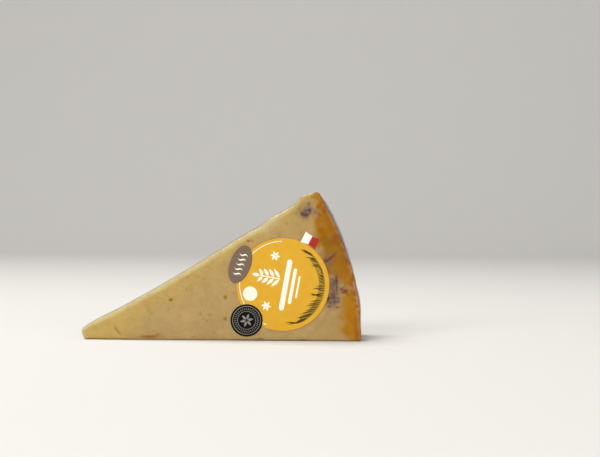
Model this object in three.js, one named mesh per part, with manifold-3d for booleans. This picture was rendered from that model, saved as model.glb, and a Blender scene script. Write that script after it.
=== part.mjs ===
// Smoked cheese wedge in tight clear film, with four stickers on its front face.
// Units are millimetres and +Z is up. The front face looks along -Y, the tip points along -X
// and the curved rind side faces +X. The wedge stands on its lower cut side.
// In the plane of the front face, x runs from the wheel's centre along the lower side and z up.

import * as THREE from 'three';
import { mergeVertices } from 'three/addons/utils/BufferGeometryUtils.js';
import Module from 'manifold-3d';

// Driving dimensions of the wedge
const WHEEL_RADIUS = 130;
const SECTOR_ANGLE = THREE.MathUtils.degToRad(31);
const THICKNESS = 45;
const TIP_RADIUS = 2.5;
const HEEL_RADIUS = 2;
const SHOULDER_RADIUS = 1.8;
const EDGE_ROUND = { lower: 1.2, rind: 1.4, cut: 2.6, fade: 12 };

// Unevenness of the upper cut side, along it and back from the front: a full tip, a slow sag,
// a dip and a rise, and the lump by the shoulder
const CUT_HUMPS = [
  { height: 1.0, along: 12, halfWidth: 11, depth: 200 },
  { height: -0.7, along: 57, halfWidth: 24, depth: 200 },
  { height: -0.6, along: 98.2, halfWidth: 3.5, depth: 30 },
  { height: 0.5, along: 106.4, halfWidth: 5, depth: 30 },
  { height: 1.7, along: 122.3, halfWidth: 3.1, depth: 16 },
];
const CUT_WAVE = { height: 0.18, length: 9 };
const TIP_FADE = 0.5;

// The rind side is a little more than the wheel's radius away at the heel, a little less at the
// shoulder, and craggy
const RIND_LEAN = { heel: 0.8, shoulder: -0.6 };
const RIND_CRAG = { height: 0.55, length: 8 };
const RIND_GRAIN = { height: 0.25, length: 3.4 };
const RIND_FADE = 7;
const FACE_WAVE = { height: 0.22, length: 26 };

// Sunken, mouldy spots of the front face, near its rind side
const FACE_DENTS = [
  { x: 118.6, z: 20.8, halfX: 3.2, halfZ: 6.2, height: -0.7 },
  { x: 106.1, z: 57.4, halfX: 3.0, halfZ: 2.6, height: -0.6 },
  { x: 117.3, z: 37.9, halfX: 3.4, halfZ: 2.2, height: -0.5 },
];

// Stickers: all lie in one layer, a small gap in front of the face and beside each other
const STICKER_GAP = 0.3;
const STICKER_THICKNESS = 0.3;
const ROUND_LABEL = { x: 95.5, z: 25, radius: 20.6 };
const OVAL_LABEL = { x: 76.6, z: 33.8, halfLength: 8.7, halfWidth: 4.65, tilt: THREE.MathUtils.degToRad(70.6) };
const SEAL = { x: 79.5, z: 9, radius: 7.15 };
const FLAG_TAB = { x: 107.5, z: 44.65, length: 7.05, height: 5.3, pinch: 0.55, tilt: THREE.MathUtils.degToRad(-27) };

// The face stays flat behind the stickers, within this circle
const FLAT_ZONE = { x: 91, z: 25, radius: 27, fade: 8 };

// Where the rings of the two faces close in to, as a share of the radius along the bisector
const FACE_MIDDLE = 0.735;

// Mesh fineness
const STATIONS = { side: 34, heel: 5, rind: 36, shoulder: 7, tip: 7 };
const EDGE_STEPS = 3;
const SIDE_STEPS = 9;
const FRONT_RINGS = [0.14, 0.28, 0.42, 0.54, 0.64, 0.72, 0.79, 0.86, 0.92, 0.965];
const BACK_RINGS = [0.3, 0.6, 0.82, 0.94];
const CIRCLE_STEPS = 32;
const CROWD_TO_SHOULDER = 1.4;
const TAB_STEPS = 8;

// A repeatable value between 0 and 1 for each whole pair of numbers
function hash(i, j) {
  const wave = Math.sin(i * 127.1 + j * 311.7) * 43758.5453;
  return wave - Math.floor(wave);
}

// Smooth value noise between -1 and 1
function noise(x, y) {
  const i = Math.floor(x);
  const j = Math.floor(y);
  const u = THREE.MathUtils.smoothstep(x - i, 0, 1);
  const v = THREE.MathUtils.smoothstep(y - j, 0, 1);
  const low = THREE.MathUtils.lerp(hash(i, j), hash(i + 1, j), u);
  const high = THREE.MathUtils.lerp(hash(i, j + 1), hash(i + 1, j + 1), u);
  return 2 * THREE.MathUtils.lerp(low, high, v) - 1;
}

// A rounded hump, 1 at its centre
function hump(distance, halfWidth) {
  return Math.exp(-((distance / halfWidth) ** 2));
}

// One point of the outline: where it is, which way is out, and what the surface is there.
// rind and cut are 1 on the rind side and on the upper cut side, along is the way along that side
// in millimetres, and edge is how far its edges are rounded.
function station(x, z, angle, { rind = 0, cut = 0, along = 0, edge }) {
  return { x, z, outX: Math.cos(angle), outZ: Math.sin(angle), rind, cut, along, edge };
}

function onCircle(centre, radius, angle, surface) {
  const x = centre.x + radius * Math.cos(angle);
  const z = centre.z + radius * Math.sin(angle);
  return station(x, z, angle, surface);
}

// The sector's outline, counter-clockwise as seen from the front: lower side, heel corner,
// rind arc, shoulder corner, upper side and blunt tip. Corners are arcs tangent to what they join.
function sectorOutline() {
  const down = -Math.PI / 2;
  const up = SECTOR_ANGLE + Math.PI / 2;
  const tipStart = TIP_RADIUS / Math.tan(SECTOR_ANGLE / 2);
  const tip = { x: tipStart, z: TIP_RADIUS };
  const heelRadius = WHEEL_RADIUS + RIND_LEAN.heel;
  const shoulderRadius = WHEEL_RADIUS + RIND_LEAN.shoulder;
  const heel = { x: Math.sqrt((heelRadius - HEEL_RADIUS) ** 2 - HEEL_RADIUS ** 2), z: HEEL_RADIUS };
  const heelAngle = Math.atan2(heel.z, heel.x);
  const shoulderReach = shoulderRadius - SHOULDER_RADIUS;
  const shoulderAngle = SECTOR_ANGLE - Math.asin(SHOULDER_RADIUS / shoulderReach);
  const shoulder = {
    x: shoulderReach * Math.cos(shoulderAngle),
    z: shoulderReach * Math.sin(shoulderAngle),
  };
  const shoulderEnd = Math.sqrt(shoulderReach ** 2 - SHOULDER_RADIUS ** 2);
  const wheel = { x: 0, z: 0 };
  const { lerp, smoothstep } = THREE.MathUtils;
  const outline = [];
  const walk = (steps, place) => {
    for (let i = 0; i < steps; i += 1) {
      outline.push(place(i / steps));
    }
  };
  walk(STATIONS.side, (t) => station(lerp(tipStart, heel.x, t), 0, down, { edge: EDGE_ROUND.lower }));
  walk(STATIONS.heel, (t) => {
    const edge = lerp(EDGE_ROUND.lower, EDGE_ROUND.rind, t);
    return onCircle(heel, HEEL_RADIUS, lerp(down, heelAngle, t), { edge });
  });
  walk(STATIONS.rind, (t) => {
    const angle = lerp(heelAngle, shoulderAngle, t);
    const along = WHEEL_RADIUS * angle;
    const fromEnds = Math.min(along, WHEEL_RADIUS * shoulderAngle - along);
    const rind = smoothstep(fromEnds, 0, RIND_FADE);
    const radius = lerp(heelRadius, shoulderRadius, t);
    return onCircle(wheel, radius, angle, { rind, along, edge: EDGE_ROUND.rind });
  });
  walk(STATIONS.shoulder, (t) => {
    const surface = { cut: t, along: shoulderEnd, edge: EDGE_ROUND.rind };
    return onCircle(shoulder, SHOULDER_RADIUS, lerp(shoulderAngle, up, t), surface);
  });
  walk(STATIONS.side, (t) => {
    const along = lerp(shoulderEnd, tipStart, t ** CROWD_TO_SHOULDER);
    const fromEnds = Math.min(shoulderEnd - along, along - tipStart);
    const edge = lerp(EDGE_ROUND.rind, EDGE_ROUND.cut, smoothstep(fromEnds, 0, EDGE_ROUND.fade));
    return station(along * Math.cos(SECTOR_ANGLE), along * Math.sin(SECTOR_ANGLE), up, { cut: 1, along, edge });
  });
  walk(STATIONS.tip, (t) => {
    const edge = lerp(EDGE_ROUND.rind, EDGE_ROUND.lower, t);
    const cut = 1 - smoothstep(t, 0, TIP_FADE);
    return onCircle(tip, TIP_RADIUS, lerp(up, down + 2 * Math.PI, t), { cut, along: tipStart, edge });
  });
  return outline;
}

// How far the sides stand out of the plain sector, at a depth y behind the front face
function sideRelief(spot, y) {
  let cut = CUT_WAVE.height * noise(spot.along / CUT_WAVE.length, y / CUT_WAVE.length);
  for (const { height, along, halfWidth, depth } of CUT_HUMPS) {
    cut += height * hump(spot.along - along, halfWidth) * hump(y, depth);
  }
  const crag = RIND_CRAG.height * noise(spot.along / RIND_CRAG.length, y / RIND_CRAG.length);
  const grain = RIND_GRAIN.height * noise(spot.along / RIND_GRAIN.length, y / RIND_GRAIN.length + 7);
  return spot.cut * cut + spot.rind * (crag + grain);
}

// How far the front face stands out at x, z: a slow wave away from the stickers, and the dents
function frontRelief(x, z) {
  const fromFlat = Math.hypot(x - FLAT_ZONE.x, z - FLAT_ZONE.z) - FLAT_ZONE.radius;
  const free = THREE.MathUtils.smoothstep(fromFlat, 0, FLAT_ZONE.fade);
  let height = -FACE_WAVE.height * free * (1 + noise(x / FACE_WAVE.length, z / FACE_WAVE.length));
  for (const dent of FACE_DENTS) {
    height += dent.height * hump(x - dent.x, dent.halfX) * hump(z - dent.z, dent.halfZ);
  }
  return height;
}

// A ring of points: the outline drawn in by inset, at a depth behind the front face
function edgeRing(outline, turn, fromFront) {
  return outline.map((spot) => {
    const inset = spot.edge * (1 - Math.sin(turn));
    const depth = spot.edge * (1 - Math.cos(turn));
    const y = fromFront ? depth : THICKNESS - depth;
    const out = sideRelief(spot, y) - inset;
    const x = spot.x + spot.outX * out;
    const z = spot.z + spot.outZ * out;
    const face = fromFront ? frontRelief(x, z) * Math.cos(turn) : 0;
    return new THREE.Vector3(x, y - face, z);
  });
}

function sideRing(outline, share) {
  return outline.map((spot) => {
    const y = THREE.MathUtils.lerp(spot.edge, THICKNESS - spot.edge, share);
    const out = sideRelief(spot, y);
    return new THREE.Vector3(spot.x + spot.outX * out, y, spot.z + spot.outZ * out);
  });
}

// A ring inside a face: the face's edge ring drawn towards the middle
function faceRing(edge, middle, share, isFront) {
  return edge.map((point) => {
    const x = THREE.MathUtils.lerp(middle.x, point.x, share);
    const z = THREE.MathUtils.lerp(middle.z, point.z, share);
    const y = isFront ? -frontRelief(x, z) : THICKNESS;
    return new THREE.Vector3(x, y, z);
  });
}

// Closes a stack of rings between two end points into one skin, with its faces pointing out
function closedSkin(first, rings, last) {
  const around = rings[0].length;
  const points = [first, ...rings.flat(), last];
  const end = points.length - 1;
  const index = [];
  for (let j = 0; j < around; j += 1) {
    const k = (j + 1) % around;
    index.push(0, 1 + j, 1 + k);
    index.push(end, end - around + k, end - around + j);
    for (let ring = 0; ring < rings.length - 1; ring += 1) {
      const near = 1 + ring * around;
      const far = near + around;
      index.push(near + j, far + j, far + k);
      index.push(near + j, far + k, near + k);
    }
  }
  const geometry = new THREE.BufferGeometry().setFromPoints(points);
  geometry.setIndex(index);
  geometry.computeVertexNormals();
  return geometry;
}

function wedgeGeometry() {
  const outline = sectorOutline();
  const reach = FACE_MIDDLE * WHEEL_RADIUS;
  const middle = {
    x: reach * Math.cos(SECTOR_ANGLE / 2),
    z: reach * Math.sin(SECTOR_ANGLE / 2),
  };
  const turns = Array.from({ length: EDGE_STEPS + 1 }, (_, i) => (i / EDGE_STEPS) * (Math.PI / 2));
  const frontEdge = turns.map((turn) => edgeRing(outline, turn, true));
  const backEdge = turns.map((turn) => edgeRing(outline, turn, false)).reverse();
  const sides = [];
  for (let i = 1; i < SIDE_STEPS; i += 1) {
    sides.push(sideRing(outline, i / SIDE_STEPS));
  }
  const rings = [
    ...FRONT_RINGS.map((share) => faceRing(frontEdge[0], middle, share, true)),
    ...frontEdge,
    ...sides,
    ...backEdge,
    ...BACK_RINGS.toReversed().map((share) => faceRing(backEdge.at(-1), middle, share, false)),
  ];
  const first = new THREE.Vector3(middle.x, -frontRelief(middle.x, middle.z), middle.z);
  const last = new THREE.Vector3(middle.x, THICKNESS, middle.z);
  return closedSkin(first, rings, last);
}

// Outlines of the stickers, each let out by margin
function discShape({ x, z, radius }, margin = 0) {
  return new THREE.Shape().absarc(x, z, radius + margin, 0, 2 * Math.PI);
}

function ovalShape({ x, z, halfLength, halfWidth, tilt }, margin = 0) {
  return new THREE.Shape().absellipse(x, z, halfLength + margin, halfWidth + margin, 0, 2 * Math.PI, false, tilt);
}

// The tab's long edges bend in towards its middle, by pinch
function tabShape({ x, z, length, height, pinch, tilt }, margin = 0) {
  const halfLength = length / 2 + margin;
  const halfHeight = height / 2 + margin;
  const points = [];
  for (const side of [-1, 1]) {
    for (let i = 0; i <= TAB_STEPS; i += 1) {
      const share = (2 * i) / TAB_STEPS - 1;
      const along = -side * share * halfLength;
      const across = side * (halfHeight - pinch * (1 - share ** 2));
      points.push(new THREE.Vector2(along, across).rotateAround(new THREE.Vector2(), tilt));
    }
  }
  return new THREE.Shape(points.map((point) => point.add(new THREE.Vector2(x, z))));
}

function stickerGeometry(shape) {
  const geometry = new THREE.ExtrudeGeometry(shape, {
    depth: STICKER_THICKNESS,
    bevelEnabled: false,
    curveSegments: CIRCLE_STEPS,
  });
  return geometry;
}

const wasm = await Module();
wasm.setup();

function toManifold(geometry) {
  const bare = geometry.clone();
  bare.deleteAttribute('normal');
  bare.deleteAttribute('uv');
  const merged = mergeVertices(bare);
  const mesh = new wasm.Mesh({
    numProp: 3,
    vertProperties: new Float32Array(merged.attributes.position.array),
    triVerts: new Uint32Array(merged.index.array),
  });
  return new wasm.Manifold(mesh);
}

function fromManifold(solid) {
  const mesh = solid.getMesh();
  const geometry = new THREE.BufferGeometry();
  geometry.setAttribute('position', new THREE.BufferAttribute(mesh.vertProperties, 3));
  geometry.setIndex(new THREE.BufferAttribute(mesh.triVerts, 1));
  geometry.computeVertexNormals();
  return geometry;
}

// The round label makes room for the stickers that lie over its rim
function roundLabelGeometry() {
  const neighbours = [
    ovalShape(OVAL_LABEL, STICKER_GAP),
    discShape(SEAL, STICKER_GAP),
    tabShape(FLAG_TAB, STICKER_GAP),
  ];
  let solid = toManifold(stickerGeometry(discShape(ROUND_LABEL)));
  for (const shape of neighbours) {
    const cutter = stickerGeometry(shape);
    cutter.scale(1, 1, 3);
    cutter.translate(0, 0, -STICKER_THICKNESS);
    solid = solid.subtract(toManifold(cutter));
  }
  return fromManifold(solid);
}

function namedMesh(name, geometry, color, roughness) {
  const material = new THREE.MeshStandardMaterial({ color, roughness, metalness: 0 });
  const mesh = new THREE.Mesh(geometry, material);
  mesh.name = name;
  return mesh;
}

const wedge = namedMesh('cheese_wedge', wedgeGeometry(), '#bb9c64', 0.45);

// Stickers are drawn flat, then stood up in front of the face
const stickers = new THREE.Group();
stickers.rotation.x = Math.PI / 2;
stickers.position.y = -STICKER_GAP;
stickers.add(namedMesh('label_round', roundLabelGeometry(), '#e3af3a', 0.5));
stickers.add(namedMesh('label_oval', stickerGeometry(ovalShape(OVAL_LABEL)), '#725f4e', 0.5));
stickers.add(namedMesh('label_seal', stickerGeometry(discShape(SEAL)), '#0e0c0c', 0.5));
stickers.add(namedMesh('label_tab', stickerGeometry(tabShape(FLAG_TAB)), '#f4efe6', 0.5));

// The origin is under the middle of the whole box, on the surface that the wedge stands on
const model = new THREE.Group();
model.add(wedge, stickers);
const box = new THREE.Box3().setFromObject(model);
const middle = box.getCenter(new THREE.Vector3());
model.position.set(-middle.x, -middle.y, -box.min.z);

const group = new THREE.Group();
group.add(model);

export default group;
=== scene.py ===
"""Smoked cheese wedge in tight clear film, with four stickers on its front face.

Shapes are worked out in millimetres in the plane of the front face: x runs from the wheel's centre
along the lower side, z runs up, and y is the depth behind the front face. They reach the frame's
metres in one place, in to_frame.
"""
import math

import bpy
import numpy as np
from bpy.props import FloatProperty, FloatVectorProperty, PointerProperty
from mathutils import Matrix, Vector


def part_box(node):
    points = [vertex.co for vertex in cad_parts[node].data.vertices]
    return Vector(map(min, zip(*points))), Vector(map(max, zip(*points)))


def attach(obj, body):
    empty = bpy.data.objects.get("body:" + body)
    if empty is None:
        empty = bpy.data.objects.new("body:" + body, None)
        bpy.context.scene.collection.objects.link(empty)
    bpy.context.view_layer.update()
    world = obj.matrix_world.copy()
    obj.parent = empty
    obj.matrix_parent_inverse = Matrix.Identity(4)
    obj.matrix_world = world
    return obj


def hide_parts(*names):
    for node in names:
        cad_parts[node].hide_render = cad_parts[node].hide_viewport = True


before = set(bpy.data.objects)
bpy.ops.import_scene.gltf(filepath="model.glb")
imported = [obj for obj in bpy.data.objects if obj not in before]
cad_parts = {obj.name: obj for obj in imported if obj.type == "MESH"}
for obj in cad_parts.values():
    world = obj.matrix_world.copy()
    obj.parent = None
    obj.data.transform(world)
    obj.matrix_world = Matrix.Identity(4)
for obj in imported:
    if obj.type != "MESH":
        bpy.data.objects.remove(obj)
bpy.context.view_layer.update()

bl_info = {
    "name": "Smoked cheese wedge",
    "version": (1, 0, 0),
    "blender": (4, 5, 0),
    "location": "View3D > Sidebar > Cheese",
    "description": "Dresses the CAD wedge with cheese, clear film, stickers and their print",
    "category": "Object",
}

WEDGE_LOW, WEDGE_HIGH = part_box("cheese_wedge")
MM = 0.001

# Corner and edge rounding of the CAD wedge
TIP_RADIUS = 2.5
HEEL_RADIUS = 2.0
SHOULDER_RADIUS = 1.8
EDGE_LOWER, EDGE_RIND, EDGE_CUT, EDGE_FADE = 1.2, 1.4, 2.6, 12.0

# Humps and hollows of the upper cut side: (height, place along it, half width, depth they fade by)
CUT_HUMPS = [
    (1.0, 12.0, 11.0, 200.0),
    (-0.7, 57.0, 24.0, 200.0),
    (-0.6, 98.2, 3.5, 30.0),
    (0.5, 106.4, 5.0, 30.0),
    (1.7, 122.3, 3.1, 16.0),
]
TIP_FADE = 0.5  # share of the tip's arc over which the upper side's relief fades out
TIP_REACH = 9.0  # how far the tip's gathered film comes up the upper side

# How much further than the wheel's radius the rind side is at the heel and at the shoulder
LEAN_HEEL, LEAN_SHOULDER = 0.8, -0.6

# Finer unevenness: (height, length)
CUT_WAVE = (0.18, 9.0)
RIND_CRAG = (0.55, 8.0)
RIND_GRAIN = (0.25, 3.4)
FACE_WAVE = (0.22, 26.0)
RIND_FADE = 7.0  # how far from the ends of the arc side its unevenness is full
FLAT_ZONE = (91.0, 25.0, 27.0, 8.0)  # flat place of the stickers: x, z, radius, fade
# Where the rings of the two faces close in to, as a share of the radius along the bisector
FACE_MIDDLE = 0.735
# Sunken spots of the front face: (x, z, half width, half height, height)
FACE_DENTS = np.array([
    (118.6, 20.8, 3.2, 6.2, -0.7),
    (106.1, 57.4, 3.0, 2.6, -0.6),
    (117.3, 37.9, 3.4, 2.2, -0.5),
])

# Marks on the front face: (x, z, half length, half width, degrees from x, strength)
MOULD = [
    (105.9, 57.0, 3.0, 2.3, 15, 1.0), (107.0, 60.4, 1.6, 1.3, 0, 0.45),
    (110.8, 57.0, 1.8, 1.2, -30, 0.35), (115.7, 36.0, 2.3, 1.6, 25, 0.75),
    (118.2, 38.4, 1.6, 0.8, 37, 0.4), (116.4, 31.0, 1.2, 2.6, 10, 0.15),
    (117.4, 26.0, 1.5, 2.8, 4, 0.85), (119.6, 25.6, 1.3, 2.9, 6, 0.7),
    (117.6, 20.6, 2.3, 2.4, 0, 0.9), (117.4, 17.6, 2.6, 2.6, 0, 1.0),
    (119.8, 18.4, 1.4, 1.8, 0, 0.6), (118.6, 22.0, 4.4, 8.5, 5, 0.35),
    (115.0, 36.0, 3.2, 4.0, 0, 0.25), (106.0, 58.0, 4.5, 3.6, 20, 0.3),
]
DARK = [
    (104.2, 56.5, 1.0, 0.75, 10, 0.95), (105.2, 55.7, 1.2, 0.7, 0, 0.85),
    (107.3, 57.8, 0.75, 1.15, -12, 0.95), (106.6, 56.2, 1.0, 0.5, 30, 0.6),
    (103.6, 57.9, 0.6, 0.8, 0, 0.4), (106.9, 60.6, 0.8, 0.55, 20, 0.35),
    (109.6, 57.0, 0.5, 0.35, 0, 0.4), (111.7, 56.1, 1.25, 0.5, -42, 0.9),
    (101.4, 57.3, 0.8, 0.5, 0, 0.25), (115.3, 35.7, 1.3, 0.5, 25, 0.85),
    (118.5, 38.6, 1.4, 0.4, 40, 0.75), (119.4, 27.0, 0.42, 1.7, 3, 0.95),
    (119.6, 23.2, 0.4, 1.6, -4, 0.6), (117.0, 24.6, 0.35, 1.4, -6, 0.4),
    # These two are painted shade in small notches of the lower edge, also sunk as pits
    (85.6, 0.5, 1.3, 0.6, 0, 0.8), (104.8, 0.4, 1.4, 0.5, 0, 0.6),
    (117.3, 20.9, 0.5, 0.8, 0, 0.8), (116.0, 19.2, 0.75, 0.9, 10, 0.95),
    (118.6, 19.3, 0.5, 0.7, 0, 0.7), (117.0, 17.1, 0.7, 0.7, 0, 0.9),
    (118.6, 17.3, 0.65, 0.75, 0, 0.9), (115.6, 17.5, 0.4, 0.9, 0, 0.6),
    (116.2, 15.3, 0.8, 0.45, 0, 0.75), (118.0, 15.5, 0.5, 0.35, 0, 0.4),
    (119.8, 15.2, 0.9, 0.45, -10, 0.85), (121.6, 22.9, 0.5, 0.5, 0, 0.6),
    (80.1, 44.2, 0.5, 0.4, 0, 0.5), (86.4, 47.8, 0.4, 0.3, 0, 0.35),
    (119.5, 26.2, 2.6, 3.2, 0, 0.12), (118.0, 19.6, 2.6, 3.0, 0, 0.1),
    (124.0, 22.3, 1.0, 0.5, 10, 0.5), (123.6, 22.0, 2.6, 1.8, 0, 0.14),
    (122.0, 23.8, 0.8, 0.4, 40, 0.4), (125.9, 21.4, 1.0, 0.35, -20, 0.4),
    (117.1, 37.3, 1.6, 0.4, 35, 0.45),
]
RUSSET = [
    (114.0, 57.6, 1.1, 1.0, 0, 1.0), (111.0, 59.5, 0.9, 0.7, 0, 0.8),
    (112.3, 60.6, 1.3, 0.6, 30, 0.45), (113.3, 55.6, 0.7, 0.9, 0, 0.45),
    (116.6, 36.9, 0.9, 0.6, 20, 1.0), (113.9, 33.2, 1.2, 0.9, 0, 0.3),
    (123.2, 22.2, 1.1, 0.9, 0, 1.0), (121.3, 21.4, 1.6, 0.4, 20, 0.5),
    (118.4, 22.0, 0.4, 1.3, 0, 0.6), (125.6, 25.4, 0.8, 0.6, 0, 0.5),
    (128.6, 2.8, 1.2, 2.0, 0, 0.7), (121.8, 9.5, 0.5, 1.6, 0, 0.25),
    (119.5, 26.0, 3.2, 3.6, 0, 0.28), (124.6, 20.9, 1.8, 0.6, -25, 0.7),
    (122.3, 23.6, 1.6, 0.5, 50, 0.6), (117.6, 37.6, 2.2, 0.8, 35, 0.6),
    (80.2, 44.0, 0.7, 0.5, 0, 0.7), (82.2, 44.2, 0.6, 0.5, 0, 0.5),
    (36.5, 1.3, 4.4, 0.8, 0, 0.8), (40.6, 2.7, 0.9, 0.8, 0, 0.5),
    (22.4, 3.9, 2.3, 0.4, -52, 0.8), (103.6, 0.8, 1.2, 0.5, 0, 0.4),
]
PALE = [
    (125.8, 23.7, 1.5, 0.9, 20, 0.6), (123.6, 24.2, 1.6, 0.5, 30, 0.45),
    (121.0, 21.6, 0.45, 1.8, -35, 0.7), (122.6, 20.9, 0.4, 1.3, -30, 0.4),
    (119.5, 18.4, 0.5, 1.0, 0, 0.6), (121.2, 24.9, 0.5, 1.0, -25, 0.5),
    (108.5, 58.6, 0.8, 0.9, 0, 0.8), (109.9, 55.4, 1.4, 1.2, 0, 0.35),
    (116.6, 28.6, 0.8, 2.2, 0, 0.12), (113.6, 38.8, 1.3, 2.2, 20, 0.35),
    (81.3, 44.3, 1.0, 0.5, 0, 0.9), (34.9, 17.0, 3.0, 1.6, 10, 0.22),
    (29.0, 9.5, 2.6, 1.4, -30, 0.18), (58.0, 27.0, 4.0, 1.4, 28, 0.16),
]
# Eyes: small holes, sunk as pits and darkened with painted shade inside
EYES = [
    (46.05, 17.75, 0.85, 0.7, -15, 1.0), (70.27, 19.1, 0.75, 1.0, 10, 1.0),
    (70.26, 9.52, 0.7, 0.9, 0, 1.0), (63.4, 11.2, 0.7, 0.5, 0, 0.5),
    (44.8, 6.9, 0.5, 0.4, 0, 0.35), (55.0, 24.5, 0.5, 0.4, 0, 0.25),
]

# Smoked zone of the front face: (degrees round the wheel, its width, how softly it ends)
SMOKE_WIDTH = np.array([
    (0.0, 5.0, 2.0), (1.1, 7.2, 2.6), (2.4, 10.2, 3.4), (4.5, 9.7, 3.4), (6.6, 8.6, 2.8),
    (8.6, 7.8, 1.8), (10.2, 4.9, 1.8), (11.4, 4.9, 1.8), (12.6, 7.0, 1.5), (15.1, 12.3, 1.6),
    (17.1, 11.6, 1.6), (19.5, 10.2, 1.8), (22.0, 10.8, 1.8), (24.1, 9.8, 2.0), (25.9, 7.6, 1.6),
    (27.7, 5.6, 1.8), (29.6, 4.2, 2.4), (31.0, 4.6, 2.6),
])
# Darker places in it: (bearing in radians, half width, strength)
DEEP_SMOKE = [(0.314, 0.105, 0.75), (0.47, 0.045, 0.3)]
# Smoke that comes in from the back: its share of the thickness, and its fade inwards and outwards
BACK_SMOKE, BACK_FADE_IN, BACK_FADE_OUT = 0.27, 6.0, 5.0
# Faint smoke further in from the arc: its strength, and from where to where it fades
TINT, TINT_START, TINT_END = 0.2, 10.0, 36.0
# How far from the front edge the brown skin of the rind starts and is full
CRUST_START, CRUST_FULL = 0.6, 5.0
# Painted highlight along the upper cut edge, where its rounded edge catches the light from above: half
# width, wider stretch (gain, place, half width) and narrower end (loss, start, end)
EDGE_BAND, EDGE_WIDE, EDGE_NARROW = 1.55, (2.2, 104.0, 7.0), (0.75, 112.0, 118.0)
# Lighter paste, partly its yellower tone and partly painted light: from where to where it fades from the
# tip, and the half width of the painted light along the upper edge
TIP_LIGHT, EDGE_LIGHT = (8.0, 44.0), 8.0
EYE_DEPTH, CRACK_DEPTH = 0.40, 0.22

# Grids of the cheese and of the film: stations on each part of the outline, and places of rings
CHEESE_STEPS = {"lower": 104, "heel": 8, "rind": 136, "shoulder": 12, "upper": 214, "tip": 12}
CHEESE_RINGS = {
    "front": np.concatenate([[0.07, 0.14], np.linspace(0.2, 0.994, 106)]),
    "edge": np.linspace(0.0, 1.0, 7),
    "side": np.linspace(0.0, 1.0, 32)[1:-1],
    "back": np.linspace(0.985, 0.03, 52),
}
FILM_STEPS = {"lower": 90, "heel": 10, "rind": 190, "shoulder": 14, "upper": 250, "tip": 20}
FILM_RINGS = {
    "front": np.concatenate([[0.15, 0.3], np.linspace(0.42, 0.99, 30)]),
    "edge": np.linspace(0.0, 1.0, 9),
    "side": np.linspace(0.0, 1.0, 92)[1:-1],
    "back": np.linspace(0.985, 0.05, 22),
}
CHEESE_SINK, FILM_SINK = 0.3, 0.1  # how deep the middle of the back lies, as the relief round it

# Stickers and their print: half sizes, the bend of the tab's long edges, and turns in degrees
OVAL_LENGTH, OVAL_WIDTH, OVAL_TURN = 8.7, 4.65, 70.6
TAB_LENGTH, TAB_HEIGHT, TAB_BEND, TAB_TURN = 3.525, 2.65, 0.55, -27
LABEL_TURN, SEAL_TURN = 80, 12
SPRIG_X = 2.2  # the sprig's stem, right of the round label's middle
STROKE_STEP = 0.3  # about the longest step along a stroke of print
# Gap behind a sticker on the face and on the label, the paper's wave (height, length), and where
# inside the round label's rim a sticker over it steps up
SEAT_GAPS, SEAT_WAVE, SEAT_STEP = (0.04, 0.05), (0.03, 7.0), (-0.9, 0.1)

# Stage, in the frame's metres: soft boxes as (place, size, power), and the world's light
LIGHTS = {
    "key": ((-0.75, -1.45, 0.85), (0.9, 0.9), 18.5),
    "fill": ((1.1, -1.4, 0.5), (0.8, 0.8), 7.6),
    "top": ((-0.35, 0.25, 1.2), (0.9, 0.7), 12.0),
}
LIGHT_TARGET, LIGHT_COLOUR = (0.0, 0.0, 0.03), (1.0, 0.99, 0.97)
WORLD_COLOUR, WORLD_STRENGTH = (0.92, 0.95, 1.0, 1.0), 0.32
# Camera: degrees round, above and rolled, then distance, target and focal length
CAMERA_TURNS = (1.0, 1.0, 0.37)
CAMERA_DISTANCE, CAMERA_X, CAMERA_Z, FOCAL_LENGTH = 0.9, 0.10276, 0.0495, 118.9


def smoothstep(value, low, high):
    """0 below low, 1 above high, and a smooth cubic in between."""
    t = np.clip((value - low) / (high - low), 0.0, 1.0)
    return t * t * (3.0 - 2.0 * t)


def lerp(a, b, t):
    """The straight mix of a and b."""
    return a + (b - a) * t


def hump(distance, half_width):
    """A rounded hump: e to the minus square of distance over half width."""
    return np.exp(-((distance / half_width) ** 2))


def lattice(i, j):
    """A repeatable value from 0 to 1 for whole numbers i, j: the fraction of a large sine."""
    wave = np.sin(i * 127.1 + j * 311.7) * 43758.5453
    return wave - np.floor(wave)


def noise(x, y):
    """Smooth value noise from -1 to 1: lattice values mixed by smoothed fractions of x and y."""
    i, j = np.floor(x), np.floor(y)
    u, v = smoothstep(x - i, 0.0, 1.0), smoothstep(y - j, 0.0, 1.0)
    low = lerp(lattice(i, j), lattice(i + 1, j), u)
    high = lerp(lattice(i, j + 1), lattice(i + 1, j + 1), u)
    return 2.0 * lerp(low, high, v) - 1.0


def ridges(x, y, sharpness=2.0):
    """Sharp crests from 0 to 1 along the lines where the noise crosses zero."""
    return np.maximum(0.0, 1.0 - 1.7 * np.abs(noise(x, y))) ** sharpness


def marks(x, z, table):
    """The sum, held to 1, of turned oval humps from a table of marks."""
    total = np.zeros(np.broadcast(x, z).shape)
    for mark_x, mark_z, half_length, half_width, degrees, strength in table:
        turn = math.radians(degrees)
        along = (x - mark_x) * math.cos(turn) + (z - mark_z) * math.sin(turn)
        across = (z - mark_z) * math.cos(turn) - (x - mark_x) * math.sin(turn)
        total += strength * hump(along, half_length) * hump(across, half_width)
    return np.minimum(total, 1.0)


def apex_x():
    """The frame's x of the wheel's centre: the tip's arc starts a known way in from it."""
    tip_start = TIP_RADIUS / math.tan(bpy.context.scene.cheese_sizes.sector_angle / 2)
    return WEDGE_LOW.x - (tip_start - TIP_RADIUS) * MM


def to_frame(x, y, z):
    """Millimetres on the front face to metres in the frame, with the places from the CAD's box."""
    x, y, z = np.broadcast_arrays(x, y, z)
    return np.stack([apex_x() + x * MM, WEDGE_LOW.y + y * MM, WEDGE_LOW.z + z * MM], axis=-1)


# Outline and skin of the wedge


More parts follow.
